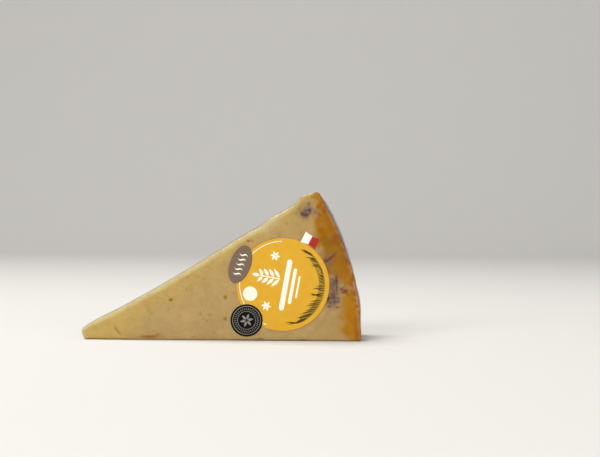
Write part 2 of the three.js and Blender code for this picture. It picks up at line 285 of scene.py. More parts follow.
def sector_outline(radius, angle, steps):
    """The rounded sector's outline, counter-clockwise as seen from the front, as columns.

    It is the lower side, the heel corner, the rind arc, the shoulder corner, the upper side and the
    blunt tip. Corners are arcs tangent to what they join. Columns: x, z, outward direction, how
    much the rind, the cut side and the tip show there, the way along the side, and edge rounding.
    """
    down, up = -math.pi / 2, angle + math.pi / 2
    tip_start = TIP_RADIUS / math.tan(angle / 2)
    heel_radius, shoulder_radius = radius + LEAN_HEEL, radius + LEAN_SHOULDER
    heel_x = math.sqrt((heel_radius - HEEL_RADIUS) ** 2 - HEEL_RADIUS**2)
    heel_angle = math.atan2(HEEL_RADIUS, heel_x)
    reach = shoulder_radius - SHOULDER_RADIUS
    shoulder_angle = angle - math.asin(SHOULDER_RADIUS / reach)
    shoulder_end = math.sqrt(reach**2 - SHOULDER_RADIUS**2)

    def part(count, x, z, out, rind=0.0, cut=0.0, tip=0.0, along=0.0, edge=EDGE_LOWER):
        columns = [x, z, np.cos(out), np.sin(out), rind, cut, tip, along, edge]
        return np.stack([np.broadcast_to(np.asarray(c, float), count) for c in columns])

    def on_circle(count, centre_x, centre_z, r, start, end, **surface):
        out = lerp(start, end, np.arange(count) / count)
        return part(count, centre_x + r * np.cos(out), centre_z + r * np.sin(out), out, **surface)

    share = {name: np.arange(count) / count for name, count in steps.items()}
    lower = part(steps["lower"], lerp(tip_start, heel_x, share["lower"]), 0.0, down)
    heel = on_circle(
        steps["heel"], heel_x, HEEL_RADIUS, HEEL_RADIUS, down, heel_angle,
        edge=lerp(EDGE_LOWER, EDGE_RIND, share["heel"]),
    )
    rind_angle = lerp(heel_angle, shoulder_angle, share["rind"])
    rind_along = radius * rind_angle
    from_ends = np.minimum(rind_along, radius * shoulder_angle - rind_along)
    rind = on_circle(
        steps["rind"], 0.0, 0.0, lerp(heel_radius, shoulder_radius, share["rind"]),
        heel_angle, shoulder_angle,
        rind=smoothstep(from_ends, 0.0, RIND_FADE), along=rind_along, edge=EDGE_RIND,
    )
    t = share["shoulder"]
    shoulder = on_circle(
        steps["shoulder"], reach * math.cos(shoulder_angle), reach * math.sin(shoulder_angle),
        SHOULDER_RADIUS, shoulder_angle, up,
        cut=t, along=shoulder_end, edge=EDGE_RIND,
    )
    along = lerp(shoulder_end, tip_start, share["upper"])
    ends = np.minimum(shoulder_end - along, along - tip_start)
    upper = part(
        steps["upper"], along * math.cos(angle), along * math.sin(angle), up,
        cut=1.0, along=along,
        tip=1.0 - smoothstep(along, tip_start, tip_start + TIP_REACH),
        edge=lerp(EDGE_RIND, EDGE_CUT, smoothstep(ends, 0.0, EDGE_FADE)),
    )
    t = share["tip"]
    tip = on_circle(
        steps["tip"], tip_start, TIP_RADIUS, TIP_RADIUS, up, down + 2 * math.pi,
        cut=1.0 - smoothstep(t, 0.0, TIP_FADE), tip=1.0 - t, along=tip_start,
        edge=lerp(EDGE_RIND, EDGE_LOWER, t),
    )
    rows = np.concatenate([lower, heel, rind, shoulder, upper, tip], axis=1)
    names = ["x", "z", "out_x", "out_z", "rind", "cut", "tip", "along", "edge"]
    return dict(zip(names, rows))


def cut_relief(along, y):
    """How far the upper cut side stands out: a slow wave and the sum of its humps and hollows."""
    total = CUT_WAVE[0] * noise(along / CUT_WAVE[1], y / CUT_WAVE[1])
    for height, place, half_width, depth in CUT_HUMPS:
        total = total + height * hump(along - place, half_width) * hump(y, depth)
    return total


def side_relief(spot, y):
    """How far the sides stand out: humps and wave on the cut, crags and grain on the rind."""
    along = spot["along"]
    crag = RIND_CRAG[0] * noise(along / RIND_CRAG[1], y / RIND_CRAG[1])
    grain = RIND_GRAIN[0] * noise(along / RIND_GRAIN[1], y / RIND_GRAIN[1] + 7)
    return spot["cut"] * cut_relief(along, y) + spot["rind"] * (crag + grain)


def free_face(x, z):
    """0 where the stickers lie and 1 away from them."""
    centre_x, centre_z, radius, fade = FLAT_ZONE
    return smoothstep(np.hypot(x - centre_x, z - centre_z) - radius, 0.0, fade)


def front_relief(x, z):
    """How far the front face stands out: a slow wave away from the stickers, and the dents."""
    height, length = FACE_WAVE
    total = -height * free_face(x, z) * (1.0 + noise(x / length, z / length))
    for dent_x, dent_z, half_x, half_z, dent in FACE_DENTS:
        total = total + dent * hump(x - dent_x, half_x) * hump(z - dent_z, half_z)
    return total


def wedge_surface(outline, shares):
    """The CAD wedge's surface as a grid of rings by stations, with what each point lies on.

    Rings run from the front face's middle out to its edge, round the edge on a quarter circle,
    back along the sides, round the back edge and in to the back's middle. shares gives the
    places of the rings of each stretch, from 0 to 1.
    """
    sizes = bpy.context.scene.cheese_sizes
    thickness, edge = sizes.thickness / MM, outline["edge"]
    reach = FACE_MIDDLE * sizes.wheel_radius / MM
    middle_x = reach * math.cos(sizes.sector_angle / 2)
    middle_z = reach * math.sin(sizes.sector_angle / 2)

    def edge_rings(turn, is_front):
        depth = edge * (1.0 - np.cos(turn))
        y = depth if is_front else thickness - depth
        out = side_relief(outline, y) - edge * (1.0 - np.sin(turn))
        x = outline["x"] + outline["out_x"] * out
        z = outline["z"] + outline["out_z"] * out
        face = front_relief(x, z) * np.cos(turn) if is_front else 0.0
        return x, y - face, z

    def face_rings(rim_x, rim_z, share, is_front):
        x, z = lerp(middle_x, rim_x, share), lerp(middle_z, rim_z, share)
        return x, -front_relief(x, z) if is_front else np.full_like(x, thickness), z

    turn = shares["edge"][:, None] * math.pi / 2
    front_edge = edge_rings(turn, True)
    back_edge = [grid[::-1] for grid in edge_rings(turn, False)]
    front = face_rings(front_edge[0][0], front_edge[2][0], shares["front"][:, None], True)
    back = face_rings(back_edge[0][-1], back_edge[2][-1], shares["back"][:, None], False)
    y = lerp(edge, thickness - edge, shares["side"][:, None])
    out = side_relief(outline, y)
    side = (outline["x"] + outline["out_x"] * out, y, outline["z"] + outline["out_z"] * out)
    parts = [front, front_edge, side, back_edge, back]
    x, y, z = (np.concatenate([part[axis] for part in parts]) for axis in range(3))
    facing = np.cos(turn[:, 0])
    off_front, off_back = (len(x) - len(face[0]) - len(facing) for face in (front, back))
    on_front = np.concatenate([np.ones(len(front[0])), facing, np.zeros(off_front)])
    on_back = np.concatenate([np.zeros(off_back), facing[::-1], np.ones(len(back[0]))])
    surface = {name: np.broadcast_to(column, x.shape) for name, column in outline.items()}
    surface.update(
        x=x, y=y, z=z, depth=np.clip(y, 0.0, thickness), middle=(middle_x, middle_z),
        front=np.broadcast_to(on_front[:, None], x.shape),
        back=np.broadcast_to(on_back[:, None], x.shape),
    )
    return surface


def let_out(surface, height):
    """The grid's points moved along its normals by height; a normal is ring step cross station step."""
    points = np.stack([surface["x"], surface["y"], surface["z"]], axis=-1)
    ring_step = np.gradient(points, axis=0)
    station_step = np.roll(points, -1, axis=1) - np.roll(points, 1, axis=1)
    normal = np.cross(ring_step, station_step)
    normal /= np.linalg.norm(normal, axis=-1, keepdims=True)
    return points + normal * height[..., None]


def skin_faces(rings, around):
    """Faces of a stack of rings between a first and a last point, all pointing out."""
    j = np.arange(around)
    k = (j + 1) % around
    near = 1 + around * np.arange(rings - 1)[:, None]
    far = near + around
    end = 1 + rings * around
    quads = np.stack([near + j, far + j, far + k, near + k], axis=-1).reshape(-1, 4)
    first = np.stack([0 * j, 1 + j, 1 + k], axis=-1)
    last = np.stack([0 * j + end, end - around + k, end - around + j], axis=-1)
    return [quads, first, last]


def new_object(name, data):
    """An object linked to the scene."""
    made = bpy.data.objects.new(name, data)
    bpy.context.scene.collection.objects.link(made)
    return made


def new_mesh(name, points, faces, material, smooth=True):
    """A mesh from points in metres and groups of faces."""
    mesh = bpy.data.meshes.new(name)
    corners = np.concatenate([group.ravel() for group in faces]).astype(np.int32)
    counts = np.concatenate([np.full(len(group), group.shape[1]) for group in faces])
    starts = np.concatenate([[0], np.cumsum(counts)[:-1]]).astype(np.int32)
    mesh.vertices.add(len(points))
    mesh.vertices.foreach_set("co", points.astype(np.float32).ravel())
    mesh.loops.add(len(corners))
    mesh.loops.foreach_set("vertex_index", corners)
    mesh.polygons.add(len(counts))
    mesh.polygons.foreach_set("loop_start", starts)
    mesh.polygons.foreach_set("use_smooth", np.full(len(counts), smooth))
    mesh.update(calc_edges=True)
    if mesh.validate():
        raise RuntimeError(f"the mesh of {name} had faults")
    mesh.materials.append(material)
    return mesh


def new_piece(name, points, faces, material, replaced=(), masks=None, smooth=True):
    """Makes a mesh object with its masks, and ties it to the frame."""
    mesh = new_mesh(name, points, faces, material, smooth)
    for label, values in (masks or {}).items():
        attribute = mesh.attributes.new(label, "FLOAT", "POINT")
        attribute.data.foreach_set("value", values.astype(np.float32))
    piece = new_object(name, mesh)
    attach(piece, "root")
    if replaced:
        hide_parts(*replaced)


def with_poles(grid, first, last):
    """A grid of rings as one list of rows, between its first and last point."""
    flat = grid.reshape(-1, *grid.shape[2:])
    return np.concatenate([np.asarray(first)[None], flat, np.asarray(last)[None]])


def dress_wedge(name, steps, rings, relief, material, poles):
    """Makes a closed skin over the wedge, let out by its relief and coloured by its masks.

    poles gives the depths of the middle points of the front and of the back.
    """
    sizes = bpy.context.scene.cheese_sizes
    outline = sector_outline(sizes.wheel_radius / MM, sizes.sector_angle, steps)
    surface = wedge_surface(outline, rings)
    height, masks = relief(surface, sizes)
    grid = let_out(surface, height)
    middle_x, middle_z = surface["middle"]
    points = with_poles(grid, *((middle_x, depth, middle_z) for depth in poles))
    masks = {label: with_poles(mask, mask[0, 0], mask[-1, 0]) for label, mask in masks.items()}
    faces = skin_faces(*grid.shape[:2])
    new_piece(name, to_frame(*points.T), faces, material, ["cheese_wedge"], masks)


# Colours and materials

WHITE = (1.0, 1.0, 1.0, 1.0)


def hex_linear(code):
    """An sRGB hex colour as linear red, green, blue and alpha."""
    value = np.array([int(code[i : i + 2], 16) for i in (1, 3, 5)]) / 255.0
    linear = np.where(value <= 0.04045, value / 12.92, ((value + 0.055) / 1.055) ** 2.4)
    return (*(float(v) for v in linear), 1.0)


def rgba(value):
    """A colour setting as red, green, blue and alpha."""
    return (*value[:3], 1.0)


def shade(colour, factor):
    """A colour made darker or lighter by a factor."""
    return (*(min(1.0, channel * factor) for channel in colour[:3]), 1.0)


def grey(value):
    """A neutral colour."""
    return (value, value, value, 1.0)


def add(tree, kind, inputs=None, stops=(), **settings):
    """Adds a node with its settings, links or values for its inputs, and a ramp's stops."""
    node = tree.nodes.new("ShaderNode" + kind)
    for key, value in settings.items():
        setattr(node, key, value)
    for key, value in (inputs or {}).items():
        if isinstance(value, bpy.types.NodeSocket):
            tree.links.new(value, node.inputs[key])
        else:
            node.inputs[key].default_value = value
    if stops:
        elements = node.color_ramp.elements
        while len(elements) < len(stops):
            elements.new(1.0)
        for element, (place, colour) in zip(elements, stops):
            element.position = place
            element.color = colour
    return node


def grain(tree, place, scale, detail, roughness=0.5, distortion=0.0):
    """The value of a noise texture, with scale in cells for each metre."""
    inputs = {
        "Vector": place, "Scale": scale, "Detail": detail,
        "Roughness": roughness, "Distortion": distortion,
    }
    return add(tree, "TexNoise", inputs).outputs["Fac"]


def ramp(tree, value, *stops):
    """The colour that a ramp gives for a value."""
    return add(tree, "ValToRGB", {"Fac": value}, stops).outputs["Color"]


def mix(tree, share, first, second, blend="MIX"):
    """Two colours mixed by a share, or multiplied."""
    inputs = {0: share, 6: first, 7: second}
    return add(tree, "Mix", inputs, data_type="RGBA", blend_type=blend).outputs[2]


def calculate(tree, operation, *values, clamp=False):
    """The result of a math node, held from 0 to 1 if clamp is set."""
    inputs = dict(enumerate(values))
    return add(tree, "Math", inputs, operation=operation, use_clamp=clamp).outputs[0]


def painted(tree, mask):
    """The value of a mask stored on the mesh."""
    return add(tree, "Attribute", attribute_name=mask).outputs["Fac"]


def bumped(tree, height, strength, distance):
    """A normal that follows a height."""
    inputs = {"Height": height, "Strength": strength, "Distance": distance}
    return add(tree, "Bump", inputs).outputs["Normal"]


def new_material(name):
    """An empty node material, its tree, and the place on the object in metres."""
    material = bpy.data.materials.new(name)
    material.use_nodes = True
    material.node_tree.nodes.clear()
    place = add(material.node_tree, "TexCoord").outputs["Object"]
    return material, material.node_tree, place


def show(tree, shader):
    """Links a shader to the material's output."""
    add(tree, "OutputMaterial", {"Surface": shader.outputs[0]})


def cheese_material(colours):
    """Semi-hard pressed cheese, knife cut and smoked: a dull waxy paste that lets light in a little.

    Broad clouds and fine curd grain vary the paste. The painted masks bring the orange-brown smoked
    zone, the brown rind, grey mould, dark cracks, russet spots, pale streaks and eyes, and noise
    frays their rims. Some of it is painted light: a painted highlight along the upper cut edge,
    lighter paste towards the tip and the upper edge (partly its own tone), a painted film sheen with
    darker beads along the front's arc edge, and painted shade in the eyes and in two notches.
    """
    material, tree, place = new_material("pressed cheese, smoked")
    curd = grain(tree, place, 620.0, 3.0, 0.6)
    streaks = grain(tree, place, 300.0, 4.0, distortion=0.8)

    # Paste in broad clouds, lighter near the tip (partly yellower paste, partly painted light), with
    # painted light and a painted highlight along the upper cut edge, then blotches and specks
    paste = rgba(colours.paste)
    clouds = grain(tree, place, 75.0, 3.0, 0.55)
    current = ramp(tree, clouds, (0.34, shade(paste, 0.94)), (0.5, paste), (0.66, shade(paste, 1.05)))
    current = mix(tree, painted(tree, "light"), current, rgba(colours.tip))
    current = mix(tree, painted(tree, "edge"), current, rgba(colours.cut_edge_highlight))
    blotches = grain(tree, place, 230.0, 5.0, 0.6, 0.5)
    creases = grain(tree, place, 62.0, 2.5, 0.4)
    specks = grain(tree, place, 680.0, 1.0)
    tones = [
        (blotches, (0.33, (0.96, 0.92, 0.86, 1)), (0.5, (1, 1.01, 1, 1)), (0.67, (1.04, 1.08, 1, 1))),
        (creases, (0.488, WHITE), (0.494, (0.93, 0.91, 0.88, 1)), (0.5, WHITE)),
        (specks, (0.66, WHITE), (0.74, (0.84, 0.74, 0.58, 1))),
    ]
    for value, *stops in tones:
        current = mix(tree, 1.0, current, ramp(tree, value, *stops), "MULTIPLY")

    # Smoked zone with a golden rim, darker ochre in places, and fine streaks
    smoke = rgba(colours.smoke)
    fringe = rgba(colours.fringe)
    smoked = ramp(tree, painted(tree, "smoke"), (0.3, fringe), (0.7, smoke), (1.0, smoke))
    smoked = mix(tree, painted(tree, "deep"), smoked, rgba(colours.deep))
    streaked = ramp(
        tree, streaks,
        (0.32, (0.92, 0.74, 0.55, 1)), (0.50, WHITE), (0.68, (0.96, 1.08, 1, 1)),
    )
    smoked = mix(tree, 1.0, smoked, streaked, "MULTIPLY")

    # Each mask in turn, with how much noise frays its rim
    layers = {
        "smoke": 0.45, "crust": 0.8, "pale": 0.5, "mould": 0.6, "russet": 0.6, "dark": 0.7, "eye": 0.3,
    }
    fray = calculate(tree, "SUBTRACT", grain(tree, place, 330.0, 4.0, 0.65), 0.5)
    for mask, frayed in layers.items():
        value = painted(tree, mask)
        swing = calculate(tree, "MULTIPLY_ADD", fray, 2.0 * frayed, value)
        gate = calculate(tree, "MULTIPLY", value, 5.0, clamp=True)
        amount = calculate(tree, "MULTIPLY", swing, gate, clamp=True)
        colour = smoked if mask == "smoke" else rgba(getattr(colours, mask))
        current = mix(tree, amount, current, colour)

    speckle = ramp(tree, curd, (0.3, grey(0.955)), (0.7, grey(1.03)))
    height = calculate(tree, "ADD", curd, streaks)
    show(tree, add(tree, "BsdfPrincipled", {
        "Base Color": mix(tree, 1.0, current, speckle, "MULTIPLY"),
        "Roughness": 0.6,
        "IOR": 1.45,
        "Specular IOR Level": 0.06,
        "Subsurface Weight": 0.12,
        "Subsurface Radius": (1.0, 0.6, 0.25),
        "Subsurface Scale": 0.0015,
        "Normal": bumped(tree, height, 0.35, 0.00012),
    }))
    return material


def film_material():
    """Clear shrink film of nylon and polythene, drawn tight: see-through, with a wet-looking gloss.

    The gloss grows with the cube of how far the film turns away, over a least gloss that is faint
    on the front face and stronger on the pleated sides, by the sheen mask.
    """
    material, tree, place = new_material("clear vacuum film")
    roughness = add(tree, "MapRange", {
        "Value": grain(tree, place, 120.0, 3.0),
        "From Min": 0.3, "From Max": 0.7, "To Min": 0.10, "To Max": 0.24,
    })
    normal = bumped(tree, grain(tree, place, 420.0, 3.0, distortion=0.8), 0.25, 0.00015)
    clear = add(tree, "BsdfTransparent", {"Color": (0.985, 0.98, 0.975, 1)})
    gloss = add(tree, "BsdfAnisotropic", {
        "Color": WHITE, "Roughness": roughness.outputs[0], "Normal": normal,
    })
    facing = add(tree, "LayerWeight", {"Blend": 0.5, "Normal": normal}).outputs["Facing"]
    least = calculate(tree, "MULTIPLY_ADD", painted(tree, "sheen"), 0.045, 0.006)
    gain = calculate(tree, "MULTIPLY_ADD", calculate(tree, "POWER", facing, 3.0), 0.42, least)
    show(tree, add(tree, "MixShader", {0: gain, 1: clear.outputs[0], 2: gloss.outputs[0]}))
    return material


def paper_material(name, colour, shine=0.3):
    """Satin coated label paper: even colour with faint mottling and a soft, broad shine."""
    material, tree, place = new_material(name)
    mottle = grain(tree, place, 260.0, 3.0)
    fibre = grain(tree, place, 2400.0, 2.0)
    show(tree, add(tree, "BsdfPrincipled", {
        "Base Color": ramp(tree, mottle, (0.3, shade(colour, 0.96)), (0.7, shade(colour, 1.03))),
        "Roughness": 0.5,
        "IOR": 1.45,
        "Specular IOR Level": shine,
        "Normal": bumped(tree, fibre, 0.2, 0.00002),
    }))
    return material


def floor_material(colour):
    """Matt studio paper: pale, even, with a very faint tooth."""
    material, tree, place = new_material("matt studio paper")
    tooth = grain(tree, place, 900.0, 2.0)
    tone = ramp(tree, tooth, (0.3, shade(colour, 0.985)), (0.7, shade(colour, 1.01)))
    show(tree, add(tree, "BsdfPrincipled", {"Base Color": tone, "Roughness": 0.85}))
    return material


# Stickers and their print


def label_box(node):
    """Middle x, middle z and half height of a sticker's CAD node, in millimetres on the face."""
    low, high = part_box(node)
    x = ((low.x + high.x) / 2 - apex_x()) / MM
    z = ((low.z + high.z) / 2 - WEDGE_LOW.z) / MM
    return x, z, (high.z - low.z) / 2 / MM


def turned(points, degrees, centre):
    """Points of a sticker's own plane turned by an angle and moved to its middle on the face."""
    turn = math.radians(degrees)
    u, v = points[..., 0], points[..., 1]
    x = centre[0] + u * math.cos(turn) - v * math.sin(turn)
    z = centre[1] + u * math.sin(turn) + v * math.cos(turn)
    return np.stack([x, z], axis=-1)


def seat(points, layer):
    """How far in front of the face a sticker's back lies.

    Layer 0 is on the film. Layer 1 lies on the film too, and steps up smoothly where it passes over
    the round label. A faint wave keeps the paper from being dead flat.
    """
    x, z = points[..., 0], points[..., 1]
    height, length = SEAT_WAVE
    place = SEAT_GAPS[layer] + height * (1.0 + noise(x / length, z / length))
    if layer == 0:
        return place
    step = bpy.context.scene.cheese_sizes.paper / MM + SEAT_GAPS[0]
    middle_x, middle_z, radius = label_box("label_round")
    inside = radius - np.hypot(x - middle_x, z - middle_z)
    return place + step * smoothstep(inside, *SEAT_STEP)


def plate(name, node, rim, material, degrees=0, layer=1, rings=26):
    """A thin sheet: its rim curve, drawn in ring by ring to its middle, front and back.

    The rim is in the sheet's own plane. The front edge is rounded by a quarter circle of a quarter
    of the paper's thickness.
    """
    centre = label_box(node)[:2]
    paper = bpy.context.scene.cheese_sizes.paper / MM
    soft = paper / 4
    inner = np.linspace(0.04, 1.0, rings)[:-1]
    turn = np.linspace(0.0, math.pi / 2, 4)
    rounded = 1.0 - soft * (1.0 - np.sin(turn)) / np.abs(rim).max()
    share = np.concatenate([inner, rounded, [1.0], inner[::-1]])
    front = np.full(len(inner), paper)
    height = np.concatenate([front, paper - soft * (1.0 - np.cos(turn)), [0.0], 0.0 * inner])
    flat = turned(share[:, None, None] * rim[None], degrees, centre)
    depth = -(seat(flat, layer) + height[:, None])
    grid = to_frame(flat[..., 0], depth, flat[..., 1])
    low = float(seat(np.array([centre], float), layer)[0])
    first = to_frame(centre[0], -(low + paper), centre[1])
    last = to_frame(centre[0], -low, centre[1])
    points = with_poles(grid, first, last)
    new_piece(name, points, skin_faces(*grid.shape[:2]), material, [node])


def ellipse(half_length, half_width, steps=144):
    """An ellipse's rim: half sizes times cosine and sine."""
    turn = np.linspace(0.0, 2 * math.pi, steps, endpoint=False)
    return np.stack([half_length * np.cos(turn), half_width * np.sin(turn)], axis=-1)


def tab_rim(half_length, half_height, pinch, steps=30):
    """A rectangle whose long edges bend in towards the middle, as a parabola."""
    share = np.linspace(-1.0, 1.0, steps, endpoint=False)
    bend = half_height - pinch * (1.0 - share**2)
    ends = lerp(-half_height, half_height, (share + 1.0) / 2)
    return np.concatenate([
        np.stack([share * half_length, -bend], axis=-1),
        np.stack([np.full(steps, half_length), ends], axis=-1),
        np.stack([-share * half_length, bend], axis=-1),
        np.stack([np.full(steps, -half_length), -ends], axis=-1),
    ])


def path_steps(length, least=9):
    """Shares from 0 to 1 along a path, closer together at its ends by a cosine."""
    count = max(least, int(length / STROKE_STEP) + 1)
    return 0.5 - 0.5 * np.cos(np.linspace(0.0, math.pi, count))


def round_ends(t, length, half_width):
    """Half widths of a stroke whose ends are half circles."""
    from_end = np.minimum(t, 1.0 - t) * length
    short = np.clip(1.0 - from_end / half_width, 0.0, 1.0)
    return half_width * np.sqrt(np.maximum(1.0 - short**2, 1e-4))


def bar(start, end, half_width):
    """A straight stroke with round ends."""
    start, end = np.array(start, float), np.array(end, float)
    length = float(np.linalg.norm(end - start))
    t = path_steps(length)
    return lerp(start, end, t[:, None]), round_ends(t, length, half_width)


def bow(centre, radius, start, end, half_width):
    """A stroke along part of a circle, from start to end degrees."""
    start, end = math.radians(start), math.radians(end)
    length = abs(end - start) * radius
    t = path_steps(length)
    turn = lerp(start, end, t)
    path = np.stack([centre[0] + radius * np.cos(turn), centre[1] + radius * np.sin(turn)], axis=-1)
    return path, round_ends(t, length, half_width)


def dot(centre, radius):
    """A disc: a stroke as long as it is wide."""
    return bar((centre[0] - radius, centre[1]), (centre[0] + radius, centre[1]), radius)


def blade(base, degrees, length, half_width, bend=0.0):
    """A leaf or grass blade: its middle line bends sideways as a square, its width follows a sine."""
    turn = math.radians(degrees)
    t = path_steps(length, least=11)
    along, across = t * length, bend * t**2
    path = np.stack([
        base[0] + along * math.cos(turn) - across * math.sin(turn),
        base[1] + along * math.sin(turn) + across * math.cos(turn),
    ], axis=-1)
    return path, half_width * np.maximum(np.sin(math.pi * t**0.8), 0.06)


def curl(base, height, swing, half_width):
    """A wisp of smoke: it rises straight and sways as one sine wave, thin at both ends."""
    t = path_steps(height)
    path = np.stack([base[0] + swing * np.sin(2 * math.pi * t), base[1] + height * t], axis=-1)
    return path, half_width * np.maximum(np.sin(math.pi * t), 0.15)


def print_strokes(name, node, slot, strokes, degrees, material, layer=1, raised=0.0):
    """Strokes of ink as thin closed bands on a sticker.

    Each stroke is a four-cornered section carried along its path: right and left of the path by the
    half width, on the paper and an ink's thickness above it. raised lifts one ink over another.
    """
    centre = label_box(node)[:2]
    sizes = bpy.context.scene.cheese_sizes
    paper, ink = sizes.paper / MM, sizes.ink / MM
    points, quads, triangles, offset = [], [], [], 0
    for path, half in strokes:
        step = np.gradient(path, axis=0)
        step /= np.linalg.norm(step, axis=1, keepdims=True)
        left = np.stack([-step[:, 1], step[:, 0]], axis=-1) * half[:, None]
        right_side = turned(path - left, degrees, centre)
        left_side = turned(path + left, degrees, centre)
        corners = []
        for side, lift in [(right_side, 0.0), (right_side, ink), (left_side, ink), (left_side, 0.0)]:
            depth = -(seat(side, layer) + paper + raised + lift)
            corners.append(to_frame(side[:, 0], depth, side[:, 1]))
        grid = np.stack(corners, axis=1)
        points.append(with_poles(grid, grid[0].mean(axis=0), grid[-1].mean(axis=0)))
        faces = skin_faces(len(path), 4)
        quads.append(faces[0] + offset)
        triangles.extend(group + offset for group in faces[1:])
        offset += len(points[-1])
    groups = [np.concatenate(quads), np.concatenate(triangles)]
    new_piece(name, np.concatenate(points), groups, material, smooth=False)


# Settings


def length_property(name, description, default):
    """A length setting in metres."""
    return FloatProperty(
        name=name, description=description, default=default, unit="LENGTH", subtype="DISTANCE",
    )


def colour_property(name, description, code):
    """A colour setting with its default from an sRGB hex code."""
    return FloatVectorProperty(
        name=name, description=description, subtype="COLOR", size=3, min=0.0, max=1.0,
        default=hex_linear(code)[:3],
    )


class CHEESE_PG_sizes(bpy.types.PropertyGroup):
    """Sizes of the wedge, of its film and of the stickers' paper and ink."""

    wheel_radius: length_property("Wheel radius", "Radius of the wheel the wedge was cut from", 0.130)
    sector_angle: FloatProperty(
        name="Sector angle", description="Angle between the two cut sides",
        default=math.radians(31), unit="ROTATION", subtype="ANGLE",
    )
    thickness: length_property(
        "Thickness", "Depth from the front face to the back", WEDGE_HIGH.y - WEDGE_LOW.y,
    )
    film_gap: length_property("Film gap", "Room between the cheese and the film's outside", 0.00015)
    wrinkle: length_property("Wrinkle height", "Height of the film's largest wrinkles", 0.00028)
    smoke_reach: length_property(
        "Smoke reach", "How far the smoked colour comes in from the rind", 0.0086,
    )
    paper: length_property("Paper", "Thickness of a sticker", 0.0001)
    ink: length_property("Ink", "Thickness of the print", 0.00002)


class CHEESE_PG_colours(bpy.types.PropertyGroup):
    """Colours of the cheese, the stickers and the stage."""

    paste: colour_property("Paste", "Cut face of the cheese", "#AF9361")
    # Lighter, yellower paste towards the tip, partly its own tone and partly painted light, and painted
    # light along the upper edge
    tip: colour_property("Tip", "Lighter, yellower paste towards the tip and the upper edge", "#B99C5B")
    # Painted highlight along the upper cut edge, where the rounded edge catches light from above
    cut_edge_highlight: colour_property("Cut edge", "Paler paste along the cut edges", "#BDB184")
    smoke: colour_property("Smoked zone", "Orange-brown edge under the rind", "#A97104")
    deep: colour_property("Deep smoke", "Darker ochre in the smoked zone", "#8E5F0E")
    fringe: colour_property("Smoke fringe", "Golden inner rim of the smoked zone", "#A47C38")
    crust: colour_property("Rind", "Brown outer skin of the wheel", "#84583A")
    # Also the colour of the painted film sheen along the front's arc edge
    pale: colour_property("Pale streak", "Pinkish bloom on the rind side", "#B08668")
    mould: colour_property("Mould", "Lilac-grey mould", "#7C675E")
    # Also the darker beads between the painted film sheen along the front's arc edge
    russet: colour_property("Russet", "Red-brown spots and stains", "#8C4A1C")
    # Also painted shade in two small notches of the lower edge
    dark: colour_property("Cracks", "Dark brown cracks in the mould", "#4A3A34")
    # Darker than the paste: painted shade inside the small holes
    eye: colour_property("Eyes", "Inside of the small holes", "#8C5F00")
    label: colour_property("Round label", "Golden yellow paper", "#D6A225")
    oval: colour_property("Oval label", "Grey-brown paper", "#725F4E")
    seal: colour_property("Seal", "Black paper", "#0E0C0C")
    tab: colour_property("Tab", "White paper", "#F4EFE6")
    cream: colour_property("Cream ink", "Light print", "#F6EEDC")
    olive: colour_property("Olive ink", "Olive print", "#A07F1E")
    brown: colour_property("Brown ink", "Dark print", "#4C3A10")
    grey: colour_property("Grey ink", "Print on the seal", "#828078")
    red: colour_property("Red ink", "Red field of the tab", "#AA2412")
    floor: colour_property("Floor", "Pale studio paper", "#E2DFDA")


# Operators, one for each piece or group of like pieces, and one for the stage


class CHEESE_OT_paste(bpy.types.Operator):
    """Make the cheese under the film."""

    bl_idname = "cheese.paste"
    bl_label = "Cheese"

    def execute(self, context):
        sizes = context.scene.cheese_sizes
        gap = sizes.film_gap / MM
        material = cheese_material(context.scene.cheese_colours)
        poles = (gap, sizes.thickness / MM - gap - CHEESE_SINK)
        dress_wedge("cheese", CHEESE_STEPS, CHEESE_RINGS, cheese_relief, material, poles)
        return {"FINISHED"}


def smoke_masks(surface, sizes, bearing, from_arc, rind):
    """The smoked zone and the darker places in it.

    On the front face it is as wide from the arc as SMOKE_WIDTH says, with a noise along its rim. On
    the narrow sides it comes in from the back, and a faint tint reaches further in everywhere.
    """
    x, z, y = surface["x"], surface["z"], surface["depth"]
    thickness = sizes.thickness / MM
    degrees, widths, softness = SMOKE_WIDTH.T
    reach = sizes.smoke_reach / widths.mean() / MM
    soft = 1.4 * np.interp(np.degrees(bearing), degrees, softness)
    width = reach * np.interp(np.degrees(bearing), degrees, widths)
    width = width + 0.7 * noise(x / 2.3, z / 2.3) - 0.3 * soft
    ragged = from_arc + 0.5 * noise(x / 0.9, z / 1.6)
    from_front = 1.0 - smoothstep(ragged, width - soft, width + soft)
    width = BACK_SMOKE * thickness + 3.0 * noise(x / 11.0, z / 11.0) + 1.3 * noise(x / 3.1, y / 3.1)
    from_back = 1.0 - smoothstep(thickness - y, width - BACK_FADE_IN, width + BACK_FADE_OUT)
    tint = TINT * (1.0 - smoothstep(from_arc, TINT_START, TINT_END))
    smoke = np.clip(np.maximum(from_front, from_back * (1.0 - surface["front"])), 0.0, 1.0)
    smoke = np.maximum(np.maximum(smoke, rind), tint)
    deep = sum(strength * hump(bearing - place, half) for place, half, strength in DEEP_SMOKE)
    deep = smoke * (deep + 0.5 * smoothstep(noise(x / 3.3 + 4.0, z / 5.0), 0.1, 0.8))
    return {"smoke": smoke, "deep": np.clip(deep, 0.0, 1.0)}


